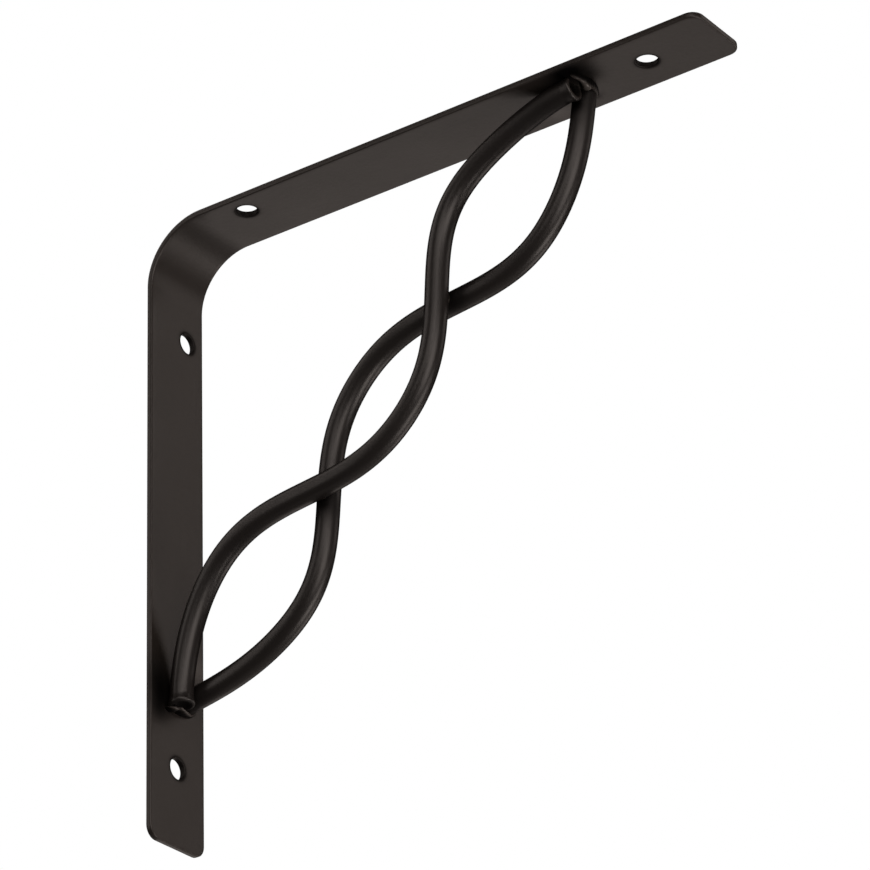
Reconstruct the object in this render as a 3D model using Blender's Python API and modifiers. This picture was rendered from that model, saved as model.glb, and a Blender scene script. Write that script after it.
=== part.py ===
"""Shelf bracket: a flat bar bent to an angle, braced by two waving round rods.

The bracket is bolted to a wall by its upright leg and carries a shelf on its level leg.
Two round rods cross the corner side by side. Each one is bent to a wave, and the two waves
mirror each other across the slanting line between the leg ends, so they cross twice and
leave three lens-shaped openings. Metres, +Z up, +X out from the wall, +Y along the wall.
The origin is on the wall face, midway between the two wall screws.
"""

import math

import bmesh
import bpy

# The bent bar.
LEG = 0.203               # from the outside of the corner to the end of either leg
WIDTH = 0.025
THICK = 0.002
BEND_RADIUS = 0.0205      # outside of the bend
BEND_STEPS = 14
CORNER_RADIUS = 0.004     # the four rounded corners, two at each leg's end
CORNER_STEPS = 5
EDGE_ROUND = 0.0004       # the bar's soft long edges
EDGE_STEPS = 2

# The screw holes, one pair in each leg.
HOLE_RADIUS = 0.0033
HOLE_SIDES = 24
NEAR_HOLE = 0.0335        # from the outside of the corner
FAR_HOLE = 0.178
STAGGER = 0.005           # the near holes stand off the bar's centre line, one to each side

# The rods.
ROD_RADIUS = 0.0036
ROD_POINTS = 72
ROD_BEVEL_RESOLUTION = 5
GAP = 0.0003              # between neighbours that touch on the real bracket
HALF_SPAN = 0.10707       # half of the slanting line that both waves follow
SPAN_CENTRE = 0.0807      # its middle, out from the wall and down from the shelf
FRONT_WAVE = {
    "lift": -0.0018,
    "tilt": -0.0025,
    "slips": (0.0, -0.0007, 0.0004),
    "humps": (-0.0002, 0.01575, 0.0013, -0.00055, -0.00045),
}
BACK_WAVE = {
    "lift": -0.00225,
    "tilt": -0.00165,
    "slips": (-0.0003, -0.0001, 0.00005),
    "humps": (0.00225, -0.01615, -0.0010, 0.00045, 0.0005),
}
FRONT_ENDS = (-0.1098, 0.1082)
BACK_ENDS = (-0.1135, 0.1135)
SEAT_SOFTNESS = 0.0008    # how gently the front rod straightens to lie along the bar

# How the meshes are made.
MERGE_DISTANCE = 0.00001
FLAT_ANGLE = 0.5          # degrees: flatter than this, two faces become one
SOFT_EDGE_ANGLE = 40      # degrees: sharper than this, an edge of the bar is softened
ROD_SMOOTH_ANGLE = 50     # degrees: sharper than this, an edge of a rod stays crisp
ROUND_PROFILE = 0.5       # a bevel's profile that is part of a circle
CUTTER_DEPTH = 8 * THICK
TRIM_ROOM = 4 * ROD_RADIUS

# Places that follow from these.
SHELF_Z = (NEAR_HOLE + FAR_HOLE) / 2
WALL_HOLES = ((SHELF_Z - NEAR_HOLE, STAGGER), (SHELF_Z - FAR_HOLE, 0.0))
SHELF_HOLES = ((NEAR_HOLE, -STAGGER), (FAR_HOLE, 0.0))
ROD_PLANE = ROD_RADIUS + GAP / 2
ROD_SEAT = THICK + GAP + ROD_RADIUS

COATING = {"color": (0.042, 0.037, 0.033, 1.0), "roughness": 0.42, "metallic": 0.0}


def clear_scene():
    for item in list(bpy.data.objects):
        bpy.data.objects.remove(item, do_unlink=True)


def make_collection(name):
    collection = bpy.data.collections.new(name)
    bpy.context.scene.collection.children.link(collection)
    return collection


def coated_steel(name):
    material = bpy.data.materials.new(name)
    material.use_nodes = True
    shader = material.node_tree.nodes["Principled BSDF"]
    shader.inputs["Base Color"].default_value = COATING["color"]
    shader.inputs["Roughness"].default_value = COATING["roughness"]
    shader.inputs["Metallic"].default_value = COATING["metallic"]
    material.diffuse_color = COATING["color"]
    return material


def arc(centre, radius, start, end, steps):
    """Points on a circle, from one angle to another in degrees."""
    points = []
    for step in range(steps + 1):
        angle = math.radians(start + (end - start) * step / steps)
        points.append((centre[0] + radius * math.cos(angle), centre[1] + radius * math.sin(angle)))
    return points


def curve_to_mesh(curve, collection):
    """Turn a curve object into a closed mesh object in the same place."""
    bpy.context.view_layer.update()
    evaluated = curve.evaluated_get(bpy.context.evaluated_depsgraph_get())
    mesh = bpy.data.meshes.new_from_object(evaluated)
    name = curve.name
    matrix = curve.matrix_world.copy()
    curve_data = curve.data
    bpy.data.objects.remove(curve, do_unlink=True)
    bpy.data.curves.remove(curve_data)
    mesh.name = name
    solid = bpy.data.objects.new(name, mesh)
    solid.matrix_world = matrix
    collection.objects.link(solid)
    work = bmesh.new()
    work.from_mesh(mesh)
    bmesh.ops.remove_doubles(work, verts=work.verts, dist=MERGE_DISTANCE)
    bmesh.ops.recalc_face_normals(work, faces=work.faces)
    work.to_mesh(mesh)
    work.free()
    return solid


def round_leg_corners(mesh):
    """Round the two corners at each leg's end, seen square on to the leg."""
    work = bmesh.new()
    work.from_mesh(mesh)
    bmesh.ops.dissolve_limit(work, angle_limit=math.radians(FLAT_ANGLE), verts=work.verts,
                             edges=work.edges)
    corners = [edge for edge in work.edges if abs(edge.calc_length() - THICK) < MERGE_DISTANCE]
    bmesh.ops.bevel(work, geom=corners, offset=CORNER_RADIUS, offset_type="OFFSET", affect="EDGES",
                    segments=CORNER_STEPS, profile=ROUND_PROFILE, clamp_overlap=True)
    bmesh.ops.recalc_face_normals(work, faces=work.faces)
    work.to_mesh(mesh)
    work.free()


def cut(target, cutter):
    modifier = target.modifiers.new("cut " + cutter.name, "BOOLEAN")
    modifier.operation = "DIFFERENCE"
    modifier.solver = "EXACT"
    modifier.object = cutter


def as_cutter(item, collection):
    for owner in list(item.users_collection):
        owner.objects.unlink(item)
    collection.objects.link(item)
    item.hide_render = True
    item.display_type = "WIRE"


def hole_cutter(name, place, axis_turn, collection):
    bpy.ops.mesh.primitive_cylinder_add(vertices=HOLE_SIDES, radius=HOLE_RADIUS, depth=CUTTER_DEPTH,
                                        location=place, rotation=(0.0, axis_turn, 0.0))
    cutter = bpy.context.active_object
    cutter.name = name
    as_cutter(cutter, collection)
    return cutter


def block_cutter(name, low, high, collection):
    """A plain block between two corners, with its size applied to its mesh."""
    bpy.ops.mesh.primitive_cube_add(size=1.0)
    cutter = bpy.context.active_object
    cutter.name = name
    for vertex in cutter.data.vertices:
        for axis in range(3):
            share = vertex.co[axis] + 0.5
            vertex.co[axis] = low[axis] + share * (high[axis] - low[axis])
    as_cutter(cutter, collection)
    return cutter


def make_strap(parts, cutters, material):
    """The bar: its bent side outline, filled and extruded to the bar's width."""
    inner_radius = BEND_RADIUS - THICK
    bend_centre = (BEND_RADIUS, SHELF_Z - BEND_RADIUS)
    outline = [(0.0, SHELF_Z - LEG)]
    outline += arc(bend_centre, BEND_RADIUS, 180, 90, BEND_STEPS)
    outline += [(LEG, SHELF_Z), (LEG, SHELF_Z - THICK)]
    outline += arc(bend_centre, inner_radius, 90, 180, BEND_STEPS)
    outline += [(THICK, SHELF_Z - LEG)]

    data = bpy.data.curves.new("strap", "CURVE")
    data.dimensions = "2D"
    data.fill_mode = "BOTH"
    data.extrude = WIDTH / 2
    spline = data.splines.new("POLY")
    spline.points.add(len(outline) - 1)
    for point, (x, z) in zip(spline.points, outline):
        point.co = (x, z, 0.0, 1.0)
    spline.use_cyclic_u = True
    curve = bpy.data.objects.new("strap", data)
    curve.rotation_euler = (math.pi / 2, 0.0, 0.0)
    parts.objects.link(curve)

    strap = curve_to_mesh(curve, parts)
    round_leg_corners(strap.data)
    strap.data.materials.append(material)

    soft_edges = strap.modifiers.new("soft edges", "BEVEL")
    soft_edges.width = EDGE_ROUND
    soft_edges.segments = EDGE_STEPS
    soft_edges.limit_method = "ANGLE"
    soft_edges.angle_limit = math.radians(SOFT_EDGE_ANGLE)

    for number, (z, y) in enumerate(WALL_HOLES, start=1):
        place = (THICK / 2, y, z)
        cut(strap, hole_cutter(f"wall hole {number}", place, math.pi / 2, cutters))
    for number, (x, y) in enumerate(SHELF_HOLES, start=1):
        place = (x, y, SHELF_Z - THICK / 2)
        cut(strap, hole_cutter(f"shelf hole {number}", place, 0.0, cutters))
    return strap


def wave_offset(wave, station):
    """The rod's offset across the slanting line: a tilted level, lopsided slips and even humps."""
    share = station / HALF_SPAN
    offset = wave["lift"] + wave["tilt"] * share
    for order, height in enumerate(wave["slips"], start=1):
        offset += height * math.sin(order * math.pi * share)
    for order, height in enumerate(wave["humps"]):
        offset += height * math.cos((2 * order + 1) * math.pi * share / 2)
    return offset


def keep_off(distance, seat):
    """Hold a distance above its seat, bending in softly instead of with a kink."""
    spare = distance - seat
    return seat + (spare + math.hypot(spare, SEAT_SOFTNESS)) / 2


def rod_path(wave, ends, lies_along_bar):
    """Points of one rod's centre line, as (out from the wall, up from the origin)."""
    points = []
    for step in range(ROD_POINTS):
        station = ends[0] + (ends[1] - ends[0]) * step / (ROD_POINTS - 1)
        offset = wave_offset(wave, station)
        out = SPAN_CENTRE + (station + offset) / math.sqrt(2)
        down = SPAN_CENTRE - (station - offset) / math.sqrt(2)
        if lies_along_bar:
            out = keep_off(out, ROD_SEAT)
            down = keep_off(down, ROD_SEAT)
        points.append((out, SHELF_Z - down))
    return points


def make_rod(name, path, plane, parts, material):
    data = bpy.data.curves.new(name, "CURVE")
    data.dimensions = "3D"
    data.bevel_depth = ROD_RADIUS
    data.bevel_resolution = ROD_BEVEL_RESOLUTION
    data.use_fill_caps = True
    spline = data.splines.new("POLY")
    spline.points.add(len(path) - 1)
    for point, (x, z) in zip(spline.points, path):
        point.co = (x, plane, z, 1.0)
    curve = bpy.data.objects.new(name, data)
    parts.objects.link(curve)
    rod = curve_to_mesh(curve, parts)
    rod.data.materials.append(material)
    rod.data.shade_smooth()
    rod.data.set_sharp_from_angle(angle=math.radians(ROD_SMOOTH_ANGLE))
    return rod


def main():
    clear_scene()
    parts = make_collection("angle_bracket")
    cutters = make_collection("cutters")

    make_strap(parts, cutters, coated_steel("strap coating"))
    make_rod("front_rod", rod_path(FRONT_WAVE, FRONT_ENDS, True), -ROD_PLANE, parts,
             coated_steel("front rod coating"))
    back_rod = make_rod("back_rod", rod_path(BACK_WAVE, BACK_ENDS, False), ROD_PLANE, parts,
                        coated_steel("back rod coating"))

    # The back rod butts square against the bar, so both its ends are trimmed to the bar's face.
    face = THICK + GAP
    wall_trim = block_cutter("wall trim", (-TRIM_ROOM, -TRIM_ROOM, SHELF_Z - LEG),
                             (face, TRIM_ROOM, SHELF_Z - LEG / 2), cutters)
    shelf_trim = block_cutter("shelf trim", (LEG / 2, -TRIM_ROOM, SHELF_Z - face),
                              (LEG, TRIM_ROOM, SHELF_Z + TRIM_ROOM), cutters)
    cut(back_rod, wall_trim)
    cut(back_rod, shelf_trim)


main()
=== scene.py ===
# %% [markdown]
# # A steel shelf bracket, dressed for a picture
# The real bracket is a flat steel bar bent to a right angle. Two round rods, each bent to a wave,
# are welded across the corner to brace it. The whole thing is powder coated in a warm near-black.
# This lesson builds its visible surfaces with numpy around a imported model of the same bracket.

import math

import bpy
import numpy as np
from mathutils import Matrix, Vector


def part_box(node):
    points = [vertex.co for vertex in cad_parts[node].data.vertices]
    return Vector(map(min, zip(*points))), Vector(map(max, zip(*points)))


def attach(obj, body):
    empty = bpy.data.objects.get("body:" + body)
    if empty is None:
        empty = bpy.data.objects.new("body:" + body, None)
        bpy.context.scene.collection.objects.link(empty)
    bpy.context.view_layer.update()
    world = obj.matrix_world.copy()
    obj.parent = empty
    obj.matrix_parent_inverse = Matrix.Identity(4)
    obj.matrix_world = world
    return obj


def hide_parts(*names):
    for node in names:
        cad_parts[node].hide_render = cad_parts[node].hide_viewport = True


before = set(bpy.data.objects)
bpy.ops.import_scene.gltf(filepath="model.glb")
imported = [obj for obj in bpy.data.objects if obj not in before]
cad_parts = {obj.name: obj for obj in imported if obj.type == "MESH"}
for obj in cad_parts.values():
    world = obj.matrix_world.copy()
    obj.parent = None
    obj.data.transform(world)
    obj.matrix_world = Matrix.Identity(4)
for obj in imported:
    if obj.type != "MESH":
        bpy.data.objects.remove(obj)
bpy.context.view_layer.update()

# %% [markdown]
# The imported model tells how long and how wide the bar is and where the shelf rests.
# What a box can't tell, such as the bar's thickness, is a named size here, in metres.

# %% Sizes
strap_low, strap_high = (np.array(corner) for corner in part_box("strap"))
LEG = strap_high[0] - strap_low[0]
WIDTH = strap_high[1] - strap_low[1]
SHELF_Z = strap_high[2]
THICK = 0.002
BEND_RADIUS = 0.0205
CORNER_RADIUS = 0.004
EDGE_ROUND = 0.0005
HOLE_RADIUS = 0.0033
RIM_ROUND = 0.0004
NEAR_HOLE = 0.0335
FAR_HOLE = 0.178
STAGGER = 0.005
ROD_RADIUS = 0.0036
ROD_PLANE = 0.00375
MM = 0.001

print("bar", round(LEG, 4), "by", round(WIDTH, 4), "shelf at", round(SHELF_Z, 5))

# %% [markdown]
# Every piece here ends up as a list of points and a list of faces, nearly all of them four-sided.
# The first helper puts them into a mesh, shades it smooth except at true corners, and says which
# part it belongs to. The others do small sums on whole arrays that several pieces need.


def make_piece(name, points, faces, material, nodes=(), sharp=40, wear_and_painted_light=None):
    """A closed mesh from an array of points and its faces, with each point's wear and painted light."""
    mesh = bpy.data.meshes.new(name)
    mesh.from_pydata(points.tolist(), [], faces if isinstance(faces, list) else faces.tolist())
    mesh.shade_smooth()
    mesh.set_sharp_from_angle(angle=math.radians(sharp))
    if wear_and_painted_light is None:
        wear_and_painted_light = np.zeros(len(points))
    # above zero: a thin coat on edges and painted highlights; below zero: painted shade
    mesh.attributes.new("wear_and_painted_light", "FLOAT", "POINT").data.foreach_set("value", wear_and_painted_light.astype(np.float32))
    mesh.materials.append(material)
    piece = bpy.data.objects.new(name, mesh)
    bpy.context.scene.collection.objects.link(piece)
    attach(piece, "root")
    if nodes:
        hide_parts(*nodes)
    print(f"{name}: {len(points)} points, {len(faces)} faces")


def strip_faces(rows, closed=True):
    """Quads between rows of point numbers, each row running the same way round."""
    here, after = rows[:-1], rows[1:]
    if closed:
        beside_here, beside_after = np.roll(here, -1, axis=1), np.roll(after, -1, axis=1)
    else:
        beside_here, beside_after = here[:, 1:], after[:, 1:]
        here, after = here[:, :-1], after[:, :-1]
    return np.stack([here, beside_here, beside_after, after], axis=-1).reshape(-1, 4)


def unit(vectors):
    """Each vector divided by its length."""
    return vectors / np.linalg.norm(vectors, axis=-1, keepdims=True)


def travelled_along(line):
    """For each point of a line, the sum of the steps that lead to it."""
    return np.concatenate([[0], np.cumsum(np.linalg.norm(np.diff(line, axis=0), axis=1))])


def once_round(sides):
    """That many angles, evenly round a circle."""
    return np.linspace(0, 2 * math.pi, sides, endpoint=False)


# %% [markdown]
# Shader maths reads better as sums and products than as boxes and wires. A small class wraps one
# output of a node, and each operator on it adds the Math node that does the work.

# %% Shader maths as Python expressions
class Signal:
    """A number that varies over the surface: one output socket of a node."""

    def __init__(self, tree, socket):
        self.tree = tree
        self.socket = socket

    def node(self, kind, settings=None, values=None, output=0):
        """Any node: its type, the settings made first, and the values or links of its inputs."""
        made = self.tree.nodes.new(kind)
        for key, value in (settings or {}).items():
            setattr(made, key, value)
        for key, value in (values or {}).items():
            if isinstance(value, Signal):
                self.tree.links.new(value.socket, made.inputs[key])
            else:
                made.inputs[key].default_value = value
        return Signal(self.tree, made.outputs[output])

    def maths(self, operation, first, second=0.0):
        return self.node("ShaderNodeMath", {"operation": operation}, {0: first, 1: second})

    def __add__(self, other):
        return self.maths("ADD", self, other)

    def __mul__(self, other):
        return self.maths("MULTIPLY", self, other)

    def __sub__(self, other):
        return self.maths("SUBTRACT", self, other)

    def __rsub__(self, other):
        return self.maths("SUBTRACT", other, self)

    def clipped(self):
        return self.node("ShaderNodeClamp", None, {"Value": self})

    __radd__ = __add__
    __rmul__ = __mul__


# %% [markdown]
# Powder coat is baked-on paint dust. It flows a little in the oven and sets with a fine orange
# peel, slightly lighter and glossier where it thins over an edge; that lightness is partly a painted
# highlight. The peel is two sizes of noise in the bump. Roughness and colour drift a little with a
# broad cloud, so that no face is perfectly even. Above zero, the number for wear and painted light
# makes the coat lighter and glossier: a thin coat on edges, and a painted highlight elsewhere. Below
# zero it is painted shade: dark, dull and with its shine taken away.

# %% The powder coat
COAT_COLOUR = (0.0165, 0.0130, 0.0108, 1.0)
# the rods' coat is the bar's at about half its lightness: painted shade that deepens their dark sides
ROD_SHADED_COLOUR = (0.0085, 0.0068, 0.0060, 1.0)
# lighter: a thin coat on edges, and the painted highlights
THIN_COAT_AND_HIGHLIGHT_COLOUR = (0.0500, 0.0430, 0.0390, 1.0)
# painted shade: nearly black
PAINTED_SHADE_COLOUR = (0.0040, 0.0036, 0.0038, 1.0)
CLOUD_SCALE = 38.0
PEEL_SCALE = 700.0
GRAIN_SCALE = 3200.0
# how much each noise moves the colour and the roughness, and how mottled the painted shade is
CLOUD_IN_COLOUR = 0.12
GRAIN_IN_COLOUR = 0.10
CLOUD_IN_ROUGHNESS = 0.10
GRAIN_IN_ROUGHNESS = 0.06
SHADE_MOTTLE = 0.15
MOTTLE_ONSET = 4.0
# how much smoother a thin edge is and how much rougher the painted shade
THIN_GLOSS = 0.05
SHADE_DULLNESS = 0.3
# what the bump is made of
PEEL_SHARE = 0.7
GRAIN_SHARE = 0.3
PEEL_STRENGTH = 0.35
PEEL_DEPTH = 0.00012


def powder_coat(name, base_colour, base_roughness, specular):
    """Three noises in object space, mixed with wear and painted light as the text above says."""
    material = bpy.data.materials.new(name)
    material.use_nodes = True
    tree = material.node_tree
    shader = tree.nodes["Principled BSDF"]
    shader.inputs["Specular IOR Level"].default_value = specular
    start = Signal(tree, None)
    place = start.node("ShaderNodeTexCoord", output=3)
    wear_and_painted_light = start.node("ShaderNodeAttribute", {"attribute_name": "wear_and_painted_light"}, output=2)
    cloud = start.node("ShaderNodeTexNoise", None, {"Vector": place, "Scale": CLOUD_SCALE, "Detail": 3.0})
    peel = start.node("ShaderNodeTexNoise", None, {"Vector": place, "Scale": PEEL_SCALE, "Detail": 2.0})
    grain = start.node("ShaderNodeTexNoise", None, {"Vector": place, "Scale": GRAIN_SCALE, "Detail": 1.0})
    thin_coat_and_highlight = (wear_and_painted_light + (cloud - 0.5) * CLOUD_IN_COLOUR + (grain - 0.5) * GRAIN_IN_COLOUR).clipped()
    mottle = (cloud - 0.5) * SHADE_MOTTLE * (wear_and_painted_light * -MOTTLE_ONSET).clipped()
    # painted shade where the number is below zero, mottled a little by the cloud
    painted_shade = (wear_and_painted_light * -1.0 + mottle).clipped()
    even = start.node("ShaderNodeMix", {"data_type": "RGBA"},
                      {"Factor": thin_coat_and_highlight, 6: base_colour, 7: THIN_COAT_AND_HIGHLIGHT_COLOUR}, output=2)
    colour = start.node("ShaderNodeMix", {"data_type": "RGBA"},
                        {"Factor": painted_shade, 6: even, 7: PAINTED_SHADE_COLOUR}, output=2)
    roughness = base_roughness - wear_and_painted_light.clipped() * THIN_GLOSS + painted_shade * SHADE_DULLNESS
    roughness = roughness + (cloud - 0.5) * CLOUD_IN_ROUGHNESS + (grain - 0.5) * GRAIN_IN_ROUGHNESS
    height = peel * PEEL_SHARE + grain * GRAIN_SHARE
    bump = start.node("ShaderNodeBump", None,
                      {"Height": height, "Strength": PEEL_STRENGTH, "Distance": PEEL_DEPTH})
    tree.links.new(colour.socket, shader.inputs["Base Color"])
    tree.links.new(roughness.socket, shader.inputs["Roughness"])
    # the painted shade takes the shine away too, through a dark metal
    tree.links.new(painted_shade.socket, shader.inputs["Metallic"])
    tree.links.new(bump.socket, shader.inputs["Normal"])
    print(name, "has", len(tree.nodes), "nodes")
    return material


bar_coat = powder_coat("bar powder coat", COAT_COLOUR, base_roughness=0.36, specular=0.5)
rod_coat = powder_coat("rod powder coat", ROD_SHADED_COLOUR, base_roughness=0.37, specular=0.56)
weld_coat = powder_coat("weld powder coat", COAT_COLOUR, base_roughness=0.36, specular=0.5)

# %% [markdown]
# The tight corners beside the welds and between the rods are given painted shade, dull and nearly
# black. A few places on the bar beside the welds are given a painted highlight and are lighter.
# Both are round smudges in the number for wear and painted light: below zero for painted shade,
# above zero for a painted highlight. A list of smudges is quicker to fit to a photograph than a
# painted mask, and it needs no picture file.

# %% Painted shade in corners and painted highlights beside the welds
# a smudge is written as x, y, z and size in millimetres, and its strength
SPOT_UNITS = (MM, MM, MM, MM, 1.0)


def shade(points, spots):
    """The sum, over the spots, of strength times exp(-(distance / size) squared)."""
    total = np.zeros(points.shape[:-1])
    for x, y, z, size, strength in spots:
        distance = np.linalg.norm(points - (x, y, z), axis=-1)
        total += strength * np.exp(-((distance / size) ** 2))
    return total


# %% [markdown]
# The bar is easiest to think of flat, before it was bent: a long strip with rounded corners, soft
# edges and four punched holes. A point of it has a distance along, a distance across and a height
# over the middle of its thickness. Bending is then one formula: go up the first leg, turn round
# the bend, and go out along the second leg.

# %% The bend
STRAIGHT = LEG - BEND_RADIUS
MIDDLE_RADIUS = BEND_RADIUS - THICK / 2
ARC = MIDDLE_RADIUS * math.pi / 2
BAR_LENGTH = 2 * STRAIGHT + ARC


def bend(along, across, height):
    """Straight up the wall leg, a quarter turn whose radius grows with height, then straight out."""
    angle = np.clip((along - STRAIGHT) / MIDDLE_RADIUS, 0, math.pi / 2)
    before = np.maximum(STRAIGHT - along, 0)
    after = np.maximum(along - STRAIGHT - ARC, 0)
    reach = MIDDLE_RADIUS + height
    x = BEND_RADIUS - reach * np.cos(angle) + after
    z = SHELF_Z - BEND_RADIUS + reach * np.sin(angle) - before
    return np.stack([x, across, z], axis=-1)


print("flat bar", round(BAR_LENGTH, 4), "m long")

# %% [markdown]
# A hole in a grid of squares spoils the squares around it. So the grid is left open in a band
# around each hole, and rings that change smoothly from the band's rectangle to the hole's circle
# fill it. The soft edges and the holes' walls are then a profile carried round those outlines.

# %% Where the flat bar's grid lines run
ACROSS_STEPS = 24
GRID_STEP = 0.002
HOLE_BAND = 0.0066
BAND_STEPS = 16
BEND_STEPS = 40
CORNER_LINES = 9
# two places closer than this are the same place
TINY = 0.0001
HOLES = (
    # place along the flat bar, and how far off its middle
    (STRAIGHT + BEND_RADIUS - FAR_HOLE, 0.0),
    (STRAIGHT + BEND_RADIUS - NEAR_HOLE, STAGGER),
    (STRAIGHT + ARC + NEAR_HOLE - BEND_RADIUS, -STAGGER),
    (STRAIGHT + ARC + FAR_HOLE - BEND_RADIUS, 0.0),
)


def grid_stations():
    """Distances along the bar: cosine steps at the rounded ends, even steps elsewhere."""
    turn = np.linspace(0, math.pi / 2, CORNER_LINES)
    corner = EDGE_ROUND + (CORNER_RADIUS - EDGE_ROUND) * (1 - np.cos(turn))
    marks = [CORNER_RADIUS]
    for middle, _ in HOLES:
        marks += [middle - HOLE_BAND, middle + HOLE_BAND]
    marks += [STRAIGHT, STRAIGHT + ARC, BAR_LENGTH - CORNER_RADIUS]
    marks = sorted(marks)
    lines = [corner]
    for start, end in zip(marks[:-1], marks[1:]):
        steps = max(2, round((end - start) / GRID_STEP))
        if any(abs((start + end) / 2 - middle) < TINY for middle, _ in HOLES):
            steps = BAND_STEPS
        elif abs(start - STRAIGHT) < TINY:
            steps = BEND_STEPS
        lines.append(np.linspace(start, end, steps + 1)[1:])
    lines.append((BAR_LENGTH - corner)[::-1][1:])
    return np.concatenate(lines)


stations = grid_stations()
print(len(stations), "grid lines across the bar")

# %% The outlines of the bar and of its holes
EDGE_TURN = np.linspace(0, math.pi / 2, 7)
HOLE_RINGS = 10
# above 1, the rings crowd towards the hole
RING_EASE = 1.6


def rounded_profile(rounding):
    """(outwards, height) from the upper face over a quarter circle, down, and round to the lower."""
    outwards = rounding * np.sin(EDGE_TURN)
    heights = THICK / 2 - rounding * (1 - np.cos(EDGE_TURN))
    return np.concatenate([outwards, outwards[::-1]]), np.concatenate([heights, -heights[::-1]])


def half_width(along):
    """Half the flat face's width: full, less a quarter circle towards each end."""
    full = WIDTH / 2 - EDGE_ROUND
    corner = CORNER_RADIUS - EDGE_ROUND
    to_end = np.minimum(along, BAR_LENGTH - along) - EDGE_ROUND
    inset = np.clip(corner - to_end, 0, corner)
    return full - corner + np.sqrt(corner**2 - inset**2)


def rim_loop(first, last):
    """Grid places of a rectangle's rim, once round: across, along, back across, back along."""
    rows = np.arange(first, last)
    columns = np.arange(ACROSS_STEPS)
    first_row, last_row = np.full(ACROSS_STEPS, first), np.full(ACROSS_STEPS, last)
    near_column, far_column = np.zeros(len(rows), int), np.full(len(rows), ACROSS_STEPS)
    i = np.concatenate([first_row, rows, last_row, rows[::-1] + 1])
    j = np.concatenate([columns, far_column, columns[::-1] + 1, near_column])
    return i, j


def rings_to_hole(outer, centre):
    """Rings between a rectangle and a circle, closer together towards the circle."""
    circle = centre + unit(outer - centre) * (HOLE_RADIUS + RIM_ROUND)
    ease = 1 - (1 - np.linspace(0, 1, HOLE_RINGS + 1)[1:, None, None]) ** RING_EASE
    return outer + (circle - outer) * ease


print(len(rim_loop(0, len(stations) - 1)[0]), "points round the bar")

# %% [markdown]
# Both faces of the bar are the same flat sheet, one turned over. A rounded profile carried round
# each outline joins the two, so that the bar is one closed skin. A Solidify and a Bevel modifier
# could do this too, but then the holes' rims would be rounded as much as the bar's edges.

# %% The bar as one closed mesh, still flat
# wear and painted light on the bar: lighter along its soft edges, partly a thin coat and partly a
# painted highlight; painted shade on its narrow sides, in the holes and in a thin ring round them
EDGE_SHINE = 0.2
SIDE_SHADE = 0.25
HOLE_SHADE = 0.85
RIM_RELIEF = 0.4
HALO_WIDTH = 0.00035


def flat_sheet():
    """One flat face: places as (along, across), quads, the painted shade of each place, and its outlines.

    An outline is the numbers of its places, their ways out of the sheet, rounding and winding.
    """
    shares = np.linspace(-1, 1, ACROSS_STEPS + 1)
    along = np.repeat(stations[:, None], ACROSS_STEPS + 1, axis=1)
    across = shares[None, :] * half_width(stations)[:, None]
    grid = np.stack([along, across], axis=-1)
    count = along.size
    numbers = np.arange(count).reshape(along.shape)
    rim = rim_loop(0, len(stations) - 1)
    furthest = np.array([BAR_LENGTH - CORNER_RADIUS, WIDTH / 2 - CORNER_RADIUS])
    nearest = np.array([CORNER_RADIUS, CORNER_RADIUS - WIDTH / 2])
    outlines = [(numbers[rim], unit(grid[rim] - np.clip(grid[rim], nearest, furthest)), EDGE_ROUND, 1)]
    places, wear_and_light, faces = [grid.reshape(-1, 2)], [np.zeros(count)], []
    open_cells = np.zeros((along.shape[0] - 1, ACROSS_STEPS), bool)

    for hole in HOLES:
        centre = np.array(hole)
        first = int(np.abs(stations - (centre[0] - HOLE_BAND)).argmin())
        last = int(np.abs(stations - (centre[0] + HOLE_BAND)).argmin())
        open_cells[first:last] = True
        rim = rim_loop(first, last)
        rings = rings_to_hole(grid[rim], centre)
        ring_numbers = count + np.arange(rings[..., 0].size).reshape(rings.shape[:2])
        ring_places = rings.reshape(-1, 2)
        from_rim = np.linalg.norm(ring_places - centre, axis=1) - HOLE_RADIUS - RIM_ROUND
        places.append(ring_places)
        # painted shade in a thin ring round each hole
        wear_and_light.append(-HOLE_SHADE * np.exp(-from_rim / HALO_WIDTH))
        faces.append(strip_faces(np.vstack([numbers[rim], ring_numbers])))
        outlines.append((ring_numbers[-1], unit(centre - rings[-1]), RIM_ROUND, -1))
        count += ring_numbers.size

    cells = strip_faces(numbers, closed=False).reshape(-1, ACROSS_STEPS, 4)
    faces.append(cells[~open_cells])
    return np.concatenate(places), np.concatenate(faces), np.concatenate(wear_and_light), outlines


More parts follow.
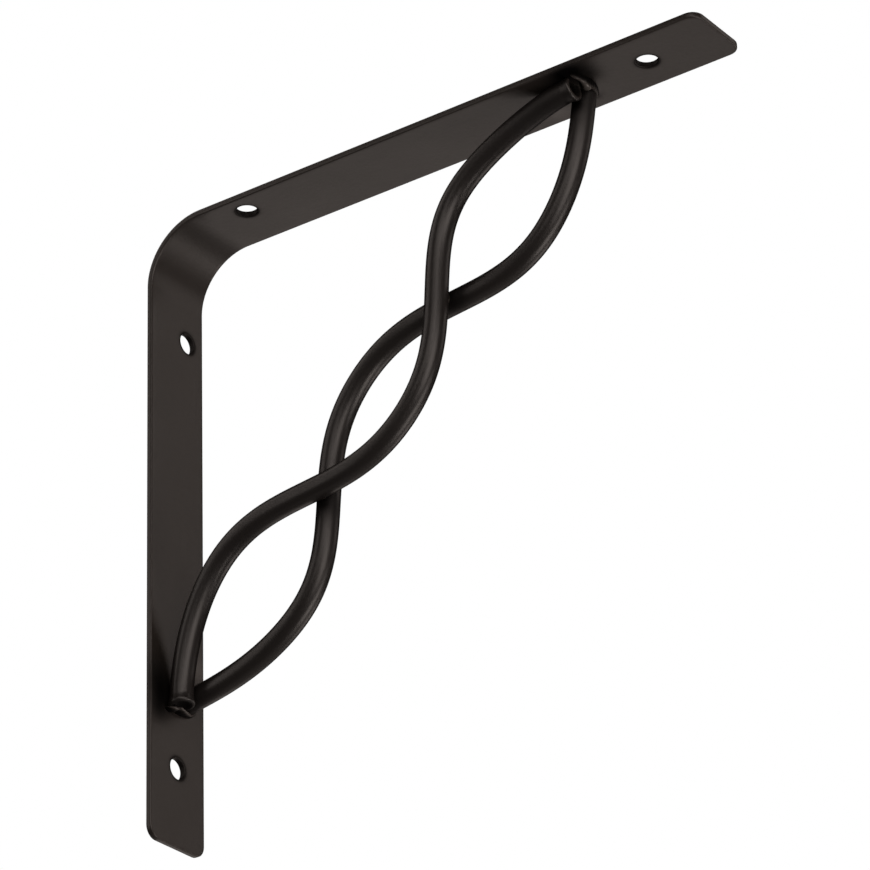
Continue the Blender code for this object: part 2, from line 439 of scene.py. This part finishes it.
def flat_bar():
    """The sheet at both heights, and the profile round each of its outlines.

    Returns points as (along, across, height), quads, and the wear and painted light of each point.
    """
    sheet, sheet_faces, sheet_shade, outlines = flat_sheet()
    upper = np.column_stack([sheet, np.full(len(sheet), THICK / 2)])
    lower = np.column_stack([sheet, np.full(len(sheet), -THICK / 2)])
    points, wear_and_light = [upper, lower], [sheet_shade, sheet_shade]
    faces = [sheet_faces[:, ::-1], sheet_faces + len(sheet)]
    count = 2 * len(sheet)
    for loop, ways_out, rounding, winding in outlines:
        outwards, heights = rounded_profile(rounding)
        outwards, heights = outwards[1:-1], heights[1:-1]
        flat = sheet[loop][None] + outwards[:, None, None] * ways_out[None]
        tall = np.broadcast_to(heights[:, None, None], flat.shape[:2] + (1,))
        points.append(np.concatenate([flat, tall], axis=-1).reshape(-1, 3))
        share = np.repeat(np.abs(heights) / (THICK / 2), len(loop))
        # edges: thin coat and painted highlight over the rounding, painted shade on the narrow side;
        # holes: painted shade on the walls
        if winding > 0:
            wear_and_light.append(share * EDGE_SHINE - (1 - share) * SIDE_SHADE)
        else:
            wear_and_light.append(HOLE_SHADE * -(1 - RIM_RELIEF * share))
        rows = count + np.arange(flat[..., 0].size).reshape(flat.shape[:2])
        faces.append(strip_faces(np.vstack([loop, rows, loop + len(sheet)]))[:, ::winding])
        count += rows.size
    return np.concatenate(points), np.concatenate(faces), np.concatenate(wear_and_light)


flat_points, flat_faces, bar_wear_and_light = flat_bar()
print(len(flat_faces), "faces on the flat bar")

# %% [markdown]
# Now the flat bar is bent, and the painted shade and highlights beside the welds are put where they
# are on the bent one. They are on the inner face alone, and fade out through the bar's thickness.

# %% The bent bar
bar_points = bend(flat_points[:, 0], flat_points[:, 1], flat_points[:, 2])
BAR_SPOTS = np.array([
    # painted shade beside the weld on the wall leg, then a painted highlight
    (2, -9.5, -45, 6.0, -0.50),
    (2, -8.0, -51, 6.0, -0.66),
    (2, -8.5, -56, 3.5, -0.40),
    (2, 9.5, -43, 3.0, -0.40),
    (2, 9.6, -37, 4.5, 0.90),
    # painted shade beside the weld on the shelf leg, then a painted highlight
    (153.5, -9.0, 103.75, 4.5, -0.85),
    (158.5, -10.0, 103.75, 4.5, -0.80),
    (161.0, -4.5, 103.75, 3.5, -0.45),
    (155.6, 6.3, 103.75, 1.6, -0.60),
    (141.5, 7.2, 103.75, 4.0, 0.90),
]) * SPOT_UNITS
inner_side = np.clip(0.5 - flat_points[:, 2] / THICK, 0, 1)
# painted shade and painted highlights on the inner face beside the welds
bar_wear_and_light = bar_wear_and_light + shade(bar_points, BAR_SPOTS) * inner_side
make_piece("bent_bar", bar_points, flat_faces, bar_coat, nodes=("strap",), wear_and_painted_light=bar_wear_and_light)

# %% [markdown]
# Each rod's middle line follows the slanting line between the leg ends, and swings across it in
# cosine humps. On the real rods a bending jig makes them. Hand-placed curve points would take
# longer to fit and would leave flat spots. The front rod's ends lie along the bar. The back rod
# runs into the bar end first.

# %% The two waves
# half the length of the slanting line that the waves share, and how far its middle is from the
# outside of each leg
HALF_SPAN = 0.10707
SPAN_CENTRE = 0.0807
# swings across that line, towards the corner below zero, in metres
FRONT_WAVE = {
    "lift": -0.0018,
    "tilt": -0.0025,
    "slips": (0.0, -0.0007, 0.0004),
    "humps": (-0.0002, 0.01575, 0.0013, -0.00055, -0.00045),
}
BACK_WAVE = {
    "lift": -0.00225,
    "tilt": -0.00165,
    "slips": (-0.0003, -0.0001, 0.00005),
    "humps": (0.00225, -0.01615, -0.0010, 0.00045, 0.0005),
}
# where each rod begins and ends along the slanting line
FRONT_ENDS = (-0.1098, 0.1084)
BACK_ENDS = (-0.1135, 0.1135)
# the air between the front rod and the wall leg
SEAT_GAP = 0.0003
# how near that rod's middle line comes to the outside of each leg, and how softly it turns there
WALL_SEAT = (THICK + SEAT_GAP + ROD_RADIUS, 0.0008)
SHELF_SEAT = (0.0031, 0.0024)


def wave_offset(wave, station):
    """A tilted level, plus lopsided sine slips, plus even cosine humps."""
    share = station / HALF_SPAN
    offset = wave["lift"] + wave["tilt"] * share
    for order, height in enumerate(wave["slips"], start=1):
        offset = offset + height * np.sin(order * math.pi * share)
    for order, height in enumerate(wave["humps"]):
        offset = offset + height * np.cos((2 * order + 1) * math.pi * share / 2)
    return offset


def keep_off(distance, seat, softness):
    """A distance held above its seat, rounding off softly as it comes near."""
    spare = distance - seat
    return seat + (spare + np.hypot(spare, softness)) / 2


def wave_line(wave, station, plane, lies_along_bar):
    """Points of a rod's middle line at the given distances along the slanting line."""
    offset = wave_offset(wave, station)
    out = SPAN_CENTRE + (station + offset) / math.sqrt(2)
    down = SPAN_CENTRE - (station - offset) / math.sqrt(2)
    if lies_along_bar:
        out, down = keep_off(out, *WALL_SEAT), keep_off(down, *SHELF_SEAT)
    return np.stack([out, np.full_like(out, plane), SHELF_Z - down], axis=-1)


# %% [markdown]
# A round rod keeps its thickness as it is bent. So its surface is one circle, carried along the
# middle line and always square to it. A bevelled curve would do the same, but with an array the
# rings at the ends can be moved one by one.

# %% A round rod along a middle line
ROD_RINGS = 420
ROD_TURN = once_round(48)[None, :, None]
SIDEWAYS = np.array([0.0, 1.0, 0.0])


def tube(line):
    """Circles as wide as a rod, square to the line, which hardly leaves its plane of one Y."""
    other = np.cross(unit(np.gradient(line, axis=0)), SIDEWAYS)
    ring = np.cos(ROD_TURN) * SIDEWAYS + np.sin(ROD_TURN) * other[:, None, :]
    return line[:, None, :] + ROD_RADIUS * ring


def capped(rings):
    """Points and faces of a closed skin: quads between the rings, and a fan at each end."""
    sides = rings.shape[1]
    numbers = np.arange(rings.shape[0] * sides).reshape(-1, sides)
    points = np.concatenate([rings.reshape(-1, 3), rings[0].mean(0)[None], rings[-1].mean(0)[None]])
    faces = strip_faces(numbers).tolist()
    for ring, pole in ((numbers[0], numbers.size), (numbers[-1][::-1], numbers.size + 1)):
        faces += np.stack([np.roll(ring, -1), ring, np.full(sides, pole)], axis=-1).tolist()
    return points, faces


for wave_name, wave in (("front", FRONT_WAVE), ("back", BACK_WAVE)):
    swing = wave_offset(wave, np.linspace(-HALF_SPAN, HALF_SPAN, ROD_RINGS))
    print(wave_name, "wave swings from", round(swing.min(), 4), "to", round(swing.max(), 4))

# %% [markdown]
# The front rod's sawn ends were heated by the welding. Each has a slightly swollen, rounded lip
# round a shallow dish. So the swept circle swells and closes along a short profile at both ends.
# A Boolean cut would be quicker, but it would leave the ends sharp and plain.

# %% The front rod
# how much painted shade the dish gets at its bottom and on its slope, and where that shade changes:
# shares of the rim's width, counted inwards from the rod's own radius
DISH_SHADE = 0.8
DISH_SLOPE_SHADE = 0.3
DISH_EDGE_SHARES = np.array([1.8, 1.0, 0.5, 0.0])
END_PROFILE = np.array([
    # millimetres along the rod from its end, share of the lip's swelling, radius without it
    (-3.4, 0.00, 3.60),
    (-2.4, 0.20, 3.60),
    (-1.5, 0.62, 3.60),
    (-0.9, 0.95, 3.58),
    (-0.5, 1.00, 3.52),
    (-0.2, 0.95, 3.38),
    (-0.04, 0.85, 3.15),
    (0.0, 0.75, 2.90),
    (-0.06, 0.65, 2.60),
    (-0.24, 0.50, 2.28),
    (-0.60, 0.35, 1.90),
    (-0.90, 0.20, 1.40),
    (-1.02, 0.10, 0.75),
    (-1.05, 0.00, 0.10),
]) * (MM, 1.0, MM)
# for each end: how far the lip swells, the slant of the cut, its rim's painted highlight (above
# zero) or painted shade (below zero) and how wide the rim is, and how far the end is pushed sideways
WALL_END = (0.00050, math.radians(7), -0.2, 0.00050, 0.0006)
SHELF_END = (0.00050, math.radians(-2), 0.6, 0.00140, 0.0)
# how soon a push at an end fades along the rod
DRIFT_LENGTH = 0.012
# the plain circles stop this many profile lengths short of each end
PROFILE_ROOM = 1.1


def front_rod():
    """Swept circles. The end profile bends the last of them in to a lip and a dish.

    Returns the circles, and the painted light of each point: painted shade in the dish, and on the
    rim a painted highlight or painted shade as that end's row says. The sideways push fades as
    exp(-distance / DRIFT_LENGTH) along the rod. Nothing rises past the middle of the bar's thickness.
    """
    station = np.linspace(FRONT_ENDS[0], FRONT_ENDS[1], ROD_RINGS)
    line = wave_line(FRONT_WAVE, station, -ROD_PLANE, True)
    travelled = travelled_along(line)
    line[:, 1] += WALL_END[-1] * np.exp(-travelled / DRIFT_LENGTH)
    line[:, 1] += SHELF_END[-1] * np.exp((travelled - travelled[-1]) / DRIFT_LENGTH)
    reach = -END_PROFILE[0, 0]
    clear = reach * PROFILE_ROOM
    plain = (travelled > clear) & (travelled < travelled[-1] - clear)
    rings = [tube(line)[plain]]
    wear_and_light = [np.zeros(rings[0].shape[:2])]
    back, swollen, plain_radius = END_PROFILE.T
    ends = ((line[0], line[1], WALL_END), (line[-1], line[-2], SHELF_END))
    for side, (tip, before, form) in enumerate(ends):
        swelling, slant, rim_shine, rim_width, _ = form
        dish_edge = ROD_RADIUS - rim_width * DISH_EDGE_SHARES
        # painted shade in the dish, and a painted highlight or painted shade on the rim
        dish = np.interp(plain_radius, dish_edge, (-DISH_SHADE, -DISH_SLOPE_SHADE, rim_shine, 0))
        outwards = unit(tip - before)
        other = np.cross(outwards if side else -outwards, SIDEWAYS)
        radius = (plain_radius + swollen * swelling)[:, None, None]
        lean = np.sin(ROD_TURN) * radius * math.tan(slant) * (1 + back / reach)[:, None, None]
        middle = tip + outwards * back[:, None]
        circle = np.cos(ROD_TURN) * SIDEWAYS + np.sin(ROD_TURN) * other
        cap = middle[:, None, :] + radius * circle + lean * outwards
        cap_painted_light = np.repeat(dish[:, None], cap.shape[1], axis=1)
        rings = rings + [cap] if side else [cap[::-1]] + rings
        wear_and_light = wear_and_light + [cap_painted_light] if side else [cap_painted_light[::-1]] + wear_and_light
    rings = np.concatenate(rings)
    rings[:, :, 2] = np.minimum(rings[:, :, 2], SHELF_Z - THICK / 2)
    return rings, np.concatenate(wear_and_light)


front_rings, front_painted_light = front_rod()
front_points, front_faces = capped(front_rings)
front_painted_light = np.concatenate([front_painted_light.ravel(), [-DISH_SHADE, -DISH_SHADE]])
FRONT_SPOTS = np.array([
    # painted shade over the shelf end, then in the corner between it and the back rod
    (146, -4, 98, 9.0, -0.30),
    (152.5, -1.5, 98.4, 2.2, -0.80),
]) * SPOT_UNITS
front_painted_light = front_painted_light + shade(front_points, FRONT_SPOTS)
make_piece("front_wave_rod", front_points, front_faces, rod_coat,
           nodes=("front_rod",), sharp=60, wear_and_painted_light=front_painted_light)

# %% [markdown]
# The back rod's ends can't be seen as ends: each foot is cut to stand flat on the bar. So there
# the last circle is slid along the rod until all of it lies on the bar's face, which needs no
# Boolean and leaves no thin faces. The feet stand a little nearer to the corner than the plain
# wave would bring them.

# %% The back rod
# how deep the feet are let into the bar's face, and how far they are moved towards the corner
SUNK = 0.0002
FOOT_SHIFT = 0.0006


def back_rod():
    """Swept circles, with the last ring at each end slid along the rod onto the bar's face."""
    face = THICK - SUNK
    station = np.linspace(BACK_ENDS[0], BACK_ENDS[1], ROD_RINGS)
    line = wave_line(BACK_WAVE, station, ROD_PLANE, False)
    line[:, 2] += FOOT_SHIFT * np.exp(-(station - station[0]) / DRIFT_LENGTH)
    line[:, 0] -= FOOT_SHIFT * np.exp((station - station[-1]) / DRIFT_LENGTH)
    short = 2 * ROD_RADIUS / 3
    clear = (line[:, 0] > face + short) & (line[:, 2] < SHELF_Z - face - short)
    rings = tube(line)[clear]
    first = rings[0] - rings[1]
    last = rings[-1] - rings[-2]
    seat_start = rings[0] + first * ((face - rings[0][:, :1]) / first[:, :1])
    seat_end = rings[-1] + last * ((SHELF_Z - face - rings[-1][:, 2:]) / last[:, 2:])
    return np.concatenate([seat_start[None], rings, seat_end[None]])


back_points, back_faces = capped(back_rod())
BACK_SPOTS = np.array([
    # painted shade under the front rod at both crossings, then at both feet
    (58.0, 1.5, -3.5, 4.5, -0.60),
    (105.5, 1.5, 49.5, 4.5, -0.65),
    (4.0, 2.0, -52.0, 6.0, -0.45),
    (152.5, 1.0, 98.0, 6.0, -0.45),
    (152.0, 1.5, 99.6, 2.4, -0.80),
]) * SPOT_UNITS
back_painted_shade = shade(back_points, BACK_SPOTS)
make_piece("back_wave_rod", back_points, back_faces, rod_coat,
           nodes=("back_rod",), sharp=60, wear_and_painted_light=back_painted_shade)

# %% [markdown]
# Each pair of rod ends is held by a run of weld along the bar: from beside the front rod, across
# the edge of its sawn end, to the foot of the back rod. A weld run is a row of overlapping
# puddles, so it is modelled as an oval carried along a path, whose size swells and shrinks with
# every puddle. It is sunk a little in the bar. Its crest gets a painted highlight, and its toes get
# painted shade.

# %% Weld runs
WELD_RINGS = 150
WELD_SIDES = 40
WELD_DEPTH = 0.0008
# how strong the crest's painted highlight is, how narrow it is, how tall the weld has to be for
# all of that highlight, and how strong the toes' painted shade is
CREST_SHINE = 2.8
CREST_SHARPNESS = 6
FULL_CREST = 0.002
TOE_SHADE = 0.9
# the length of a puddle, how far its ripple bows forwards, its mean level and its size
PUDDLE = 0.0017
RIPPLE_BOW = 0.35
RIPPLE_LEVEL = 0.6
RIPPLE_SIZE = 0.05
# slower lumps: radians of their wave for each metre, how far it winds round, and their size
LUMP_RATE = 900
LUMP_TWIST = 2.1
LUMP_SIZE = 0.04


def smooth_path(knots, count):
    """A curve through all the knots: each stretch is a cubic whose slopes come from its neighbours."""
    knots = np.asarray(knots, float)
    slopes = np.gradient(knots, axis=0)
    at = np.linspace(0, len(knots) - 1, count)
    begin = np.minimum(at.astype(int), len(knots) - 2)
    t = (at - begin)[:, None]
    p, q, m, n = knots[begin], knots[begin + 1], slopes[begin], slopes[begin + 1]
    leaving = p * (1 + 2 * t) * (1 - t) ** 2 + m * t * (1 - t) ** 2
    return leaving + q * t * t * (3 - 2 * t) + n * t * t * (t - 1)


def weld_run(knots, normal, lean, start):
    """A half oval carried along the knots on the bar's face: place, height, half width.

    Below the face it is at most WELD_DEPTH deep. Its crest leans by a share of its height. The
    size is multiplied by 1 + a small wave whose crests bow forwards, once for every puddle, + a
    slower lump. Returns the ovals, and each point's painted light, the two poles last: a painted
    highlight on the crest and painted shade on the toes.
    """
    track = smooth_path(knots, WELD_RINGS)
    line, tall, wide = track[:, :3], track[:, 3:4], track[:, 4:]
    normal = np.array(normal, float)
    across = unit(np.cross(unit(np.gradient(line, axis=0)), normal))
    travelled = travelled_along(line)[:, None]
    turn = once_round(WELD_SIDES)[None, :]
    phase = (travelled - RIPPLE_BOW * PUDDLE * np.cos(turn)) / PUDDLE + start
    ripple = np.abs(np.sin(math.pi * phase)) - RIPPLE_LEVEL
    lump = np.sin(travelled * LUMP_RATE + LUMP_TWIST * np.sin(turn + start))
    swell = 1 + RIPPLE_SIZE * ripple + LUMP_SIZE * lump
    reach = np.where(np.cos(turn) > 0, tall * swell, np.minimum(tall, WELD_DEPTH))
    lifted = np.clip(np.cos(turn), 0, 1) ** 2 * tall
    up = (np.cos(turn) * reach)[:, :, None] * normal + lifted[:, :, None] * np.array(lean)
    out = (np.sin(turn) * wide * swell)[:, :, None] * across[:, None, :]
    # painted highlight along the crest, painted shade on the toes
    crest = CREST_SHINE * np.clip(np.cos(turn), 0, 1) ** CREST_SHARPNESS
    crest = crest * np.clip(tall / FULL_CREST, 0, 1) - TOE_SHADE
    return line[:, None, :] + up + out, np.concatenate([crest.ravel(), [0, 0]])


WALL_WELD = MM * np.array([
    # x, y, z, height, half width, in millimetres
    (2.0, -5.9, -54.1, 0.05, 0.05),
    (2.0, -5.6, -54.4, 1.6, 0.50),
    (2.0, -5.1, -54.7, 2.6, 0.70),
    (2.0, -4.3, -54.8, 3.1, 0.85),
    (2.0, -3.3, -54.6, 2.9, 0.85),
    (2.0, -2.5, -54.2, 2.4, 0.80),
    (2.0, -1.7, -54.0, 3.2, 0.90),
    (2.0, -0.5, -54.1, 3.2, 0.95),
    (2.0, 1.0, -54.2, 2.7, 0.90),
    (2.0, 2.7, -54.2, 2.2, 0.80),
    (2.0, 4.4, -54.0, 1.6, 0.70),
    (2.0, 6.0, -53.3, 1.1, 0.65),
    (2.0, 7.4, -52.2, 0.8, 0.55),
    (2.0, 8.0, -51.0, 0.4, 0.4),
    (2.0, 8.0, -49.8, 0.05, 0.05),
])
SHELF_WELD = MM * np.array([
    # the same, on the shelf leg
    (156.1, -8.6, 103.75, 0.05, 0.05),
    (156.6, -8.0, 103.75, 0.9, 0.6),
    (157.3, -6.7, 103.75, 1.4, 0.8),
    (157.9, -5.2, 103.75, 1.9, 1.0),
    (158.1, -3.6, 103.75, 2.6, 1.5),
    (157.9, -2.1, 103.75, 3.1, 2.1),
    (158.0, -0.6, 103.75, 2.2, 1.7),
    (158.0, 0.9, 103.75, 1.3, 1.3),
    (157.6, 2.6, 103.75, 0.8, 1.1),
    (157.0, 4.6, 103.75, 0.7, 0.7),
    (155.6, 6.6, 103.75, 0.6, 0.5),
    (154.0, 7.6, 103.75, 0.05, 0.05),
])
WELDS = (
    # name, knots, the way out of the bar, the way its crest leans, start of its ripple
    ("weld_wall_end", WALL_WELD, (1, 0, 0), (0, 0, -0.1), 0.2),
    ("weld_shelf_end", SHELF_WELD, (0, 0, -1), (0.2, 0, 0), 0.7),
)
for name, knots, normal, lean, start in WELDS:
    weld_rings, weld_painted_light = weld_run(knots, normal, lean, start)
    weld_points, weld_faces = capped(weld_rings)
    make_piece(name, weld_points, weld_faces, weld_coat, sharp=180, wear_and_painted_light=weld_painted_light)

# %% [markdown]
# Where the rods cross they almost touch: a third of a millimetre is left between them. A small
# tack of weld bridges it and fills the sharp corners. Each tack is a ball with a lumpy skin, a
# little flatter across the rods. It sits deep between them and hardly shows.

# %% Tacks at the crossings
TACKS = (("tack_lower", (0.0564, 0.0, 0.0009)), ("tack_upper", (0.1029, 0.0, 0.0505)))
TACK_SIZE = (0.0019, 0.0018, 0.0019)
TACK_RINGS = 40
TACK_SIDES = 56
# the rings stop this far from each pole, in radians
POLE_GAP = 0.02
# the size of the lumps round the ball, and of those from pole to pole
ROUND_LUMP = 0.05
DOWN_LUMP = 0.04


def tack(middle, start):
    """A ball from two angles, scaled by 1 + a wave of three crests round it + a wave down it."""
    tilt = np.linspace(math.pi - POLE_GAP, POLE_GAP, TACK_RINGS)[:, None]
    turn = once_round(TACK_SIDES)[None, :]
    lump = 1 + ROUND_LUMP * np.sin(3 * turn + start) * np.sin(tilt)
    lump = lump + DOWN_LUMP * np.cos(5 * tilt + 2 * start)
    x = lump * np.sin(tilt) * np.cos(turn) * TACK_SIZE[0]
    y = lump * np.sin(tilt) * np.sin(turn) * TACK_SIZE[1]
    z = lump * np.cos(tilt) * TACK_SIZE[2] + 0 * turn
    return np.stack([x, y, z], axis=-1) + np.array(middle)


for start, (name, middle) in enumerate(TACKS):
    tack_points, tack_faces = capped(tack(middle, start))
    make_piece(name, tack_points, tack_faces, weld_coat, sharp=180)

# %% [markdown]
# The camera stands below the bracket and to its front right, looking up. Where it stands and how
# long its lens is were worked out from the photograph's straight edges and holes. It is placed so
# that the target falls on its own pixel, which leaves the lens unshifted.

# %% Camera
# angles are round from the front, up, and about the line of sight, and distances in metres
IMAGE_SIZE = 870
SENSOR_MM = 36.0
AZIMUTH = math.radians(35.043)
ELEVATION = math.radians(-27.459)
ROLL = math.radians(-1.810)
TARGET = np.array([0.1, 0.0, SHELF_Z - 0.1])
TARGET_PIXEL = (440.45, 436.56)
DISTANCE = 1.2690
FOCAL_PIXELS = 4362.9


def way_to(azimuth, elevation):
    """The unit vector that points that far round from the front, and that far up, in radians."""
    level_share = math.cos(elevation)
    return np.array([
        math.sin(azimuth) * level_share,
        -math.cos(azimuth) * level_share,
        math.sin(elevation),
    ])


backwards = way_to(AZIMUTH, ELEVATION)
level = np.array([math.cos(AZIMUTH), math.sin(AZIMUTH), 0.0])
upright = np.cross(backwards, level)
right = math.cos(ROLL) * level + math.sin(ROLL) * upright
up = math.cos(ROLL) * upright - math.sin(ROLL) * level
per_pixel = DISTANCE / FOCAL_PIXELS
image_middle = IMAGE_SIZE / 2
place = TARGET + DISTANCE * backwards
place = place - (TARGET_PIXEL[0] - image_middle) * per_pixel * right
place = place + (TARGET_PIXEL[1] - image_middle) * per_pixel * up

camera_data = bpy.data.cameras.new("camera")
camera_data.sensor_width = SENSOR_MM
camera_data.lens = FOCAL_PIXELS * SENSOR_MM / IMAGE_SIZE
camera_data.clip_end = 100.0
camera = bpy.data.objects.new("camera", camera_data)
camera.matrix_world = Matrix((
    (right[0], up[0], backwards[0], place[0]),
    (right[1], up[1], backwards[1], place[1]),
    (right[2], up[2], backwards[2], place[2]),
    (0, 0, 0, 1),
))
bpy.context.scene.collection.objects.link(camera)
bpy.context.scene.camera = camera
print("camera at", place.round(3), "lens", round(camera_data.lens, 1))

# %% [markdown]
# The photograph has a pure white ground and soft light. So the world is white to the camera and a
# dim grey to the bracket, and what shines on the bracket comes from the lamps alone. The floor
# lies far below. It glows a little, so that it looks pale from any side, and it is hidden from
# the bracket, whose light from below is two lamps' work.

# %% Ground and world
FLOOR_Z = -2.0
FLOOR_HALF = 12.0
FLOOR_COLOUR = (0.85, 0.85, 0.85, 1.0)
FLOOR_GLOW = 0.6
WHITE = (1.0, 1.0, 1.0, 1.0)
AMBIENT = 0.2
bpy.context.scene.view_settings.view_transform = "Standard"

world = bpy.data.worlds.new("studio")
bpy.context.scene.world = world
world.use_nodes = True
world_tree = world.node_tree
world_start = Signal(world_tree, None)
seen = world_start.node("ShaderNodeLightPath", output=0)
world.cycles_visibility.glossy = False
strength = seen * (1.0 - AMBIENT) + AMBIENT
background = world_tree.nodes["Background"]
background.inputs["Color"].default_value = WHITE
world_tree.links.new(strength.socket, background.inputs["Strength"])

floor_mesh = bpy.data.meshes.new("floor")
corners = [(-FLOOR_HALF, -FLOOR_HALF, FLOOR_Z), (FLOOR_HALF, -FLOOR_HALF, FLOOR_Z),
           (FLOOR_HALF, FLOOR_HALF, FLOOR_Z), (-FLOOR_HALF, FLOOR_HALF, FLOOR_Z)]
floor_mesh.from_pydata(corners, [], [(0, 1, 2, 3)])
floor_paint = bpy.data.materials.new("pale floor")
floor_paint.use_nodes = True
floor_shader = floor_paint.node_tree.nodes["Principled BSDF"]
floor_shader.inputs["Base Color"].default_value = FLOOR_COLOUR
floor_shader.inputs["Emission Color"].default_value = WHITE
floor_shader.inputs["Emission Strength"].default_value = FLOOR_GLOW
floor_mesh.materials.append(floor_paint)
floor = bpy.data.objects.new("floor", floor_mesh)
floor.visible_diffuse = False
floor.visible_glossy = False
bpy.context.scene.collection.objects.link(floor)
print("floor", -FLOOR_Z, "m below the bracket")

# %% [markdown]
# Twelve soft lamps stand round the bracket at several heights and give the long highlights on the
# rods. Two wide ones light it from below, as a white table would. Several plain lamps are easier
# to balance against a photograph than one painted dome of light. None of them shows to the camera.

# %% Lamps
LAMP_DISTANCE = 1.4
LAMP_SIZE = 0.64
LAMP_TARGET = Vector((0.1, 0.0, 0.0))
LAMP_COLOUR = (1.0, 0.885, 0.825)
LAMPS = (
    # name, degrees round from the front, degrees up, watts, size, distance
    ("front right", 62.0, -3.0, 6.6, 1.05, LAMP_DISTANCE),
    ("front", 35.0, 19.0, 2.4, LAMP_SIZE, LAMP_DISTANCE),
    ("front left", 9.0, 19.0, 1.5, LAMP_SIZE, LAMP_DISTANCE),
    ("left", 323.0, -3.0, 1.2, LAMP_SIZE, LAMP_DISTANCE),
    ("high left", 318.0, 19.0, 1.0, LAMP_SIZE, LAMP_DISTANCE),
    ("top left", 297.0, 41.0, 1.0, LAMP_SIZE, LAMP_DISTANCE),
    ("low right", 107.0, -47.0, 3.5, LAMP_SIZE, LAMP_DISTANCE),
    ("back right", 112.0, -25.0, 2.4, LAMP_SIZE, LAMP_DISTANCE),
    ("back", 164.0, -25.0, 1.8, LAMP_SIZE, LAMP_DISTANCE),
    ("high back", 133.0, 41.0, 0.9, LAMP_SIZE, LAMP_DISTANCE),
    ("back upper", 138.0, 19.0, 0.75, LAMP_SIZE, LAMP_DISTANCE),
    ("back left", 215.0, -25.0, 0.65, LAMP_SIZE, LAMP_DISTANCE),
    ("floor bounce", 0.0, -90.0, 24.0, 12.0, 1.9),
    ("low back left", 215.0, -50.0, 2.4, 2.6, LAMP_DISTANCE),
)
for name, azimuth, elevation, power, size, distance in LAMPS:
    lamp_data = bpy.data.lights.new(name, "AREA")
    lamp_data.shape = "DISK"
    lamp_data.size = size
    lamp_data.color = LAMP_COLOUR
    lamp_data.energy = power
    lamp = bpy.data.objects.new(name, lamp_data)
    direction = Vector(way_to(math.radians(azimuth), math.radians(elevation)))
    lamp.location = LAMP_TARGET + distance * direction
    lamp.visible_camera = False
    lamp.rotation_mode = "QUATERNION"
    lamp.rotation_quaternion = direction.to_track_quat("Z", "Y")
    bpy.context.scene.collection.objects.link(lamp)
print(len(LAMPS), "lamps")
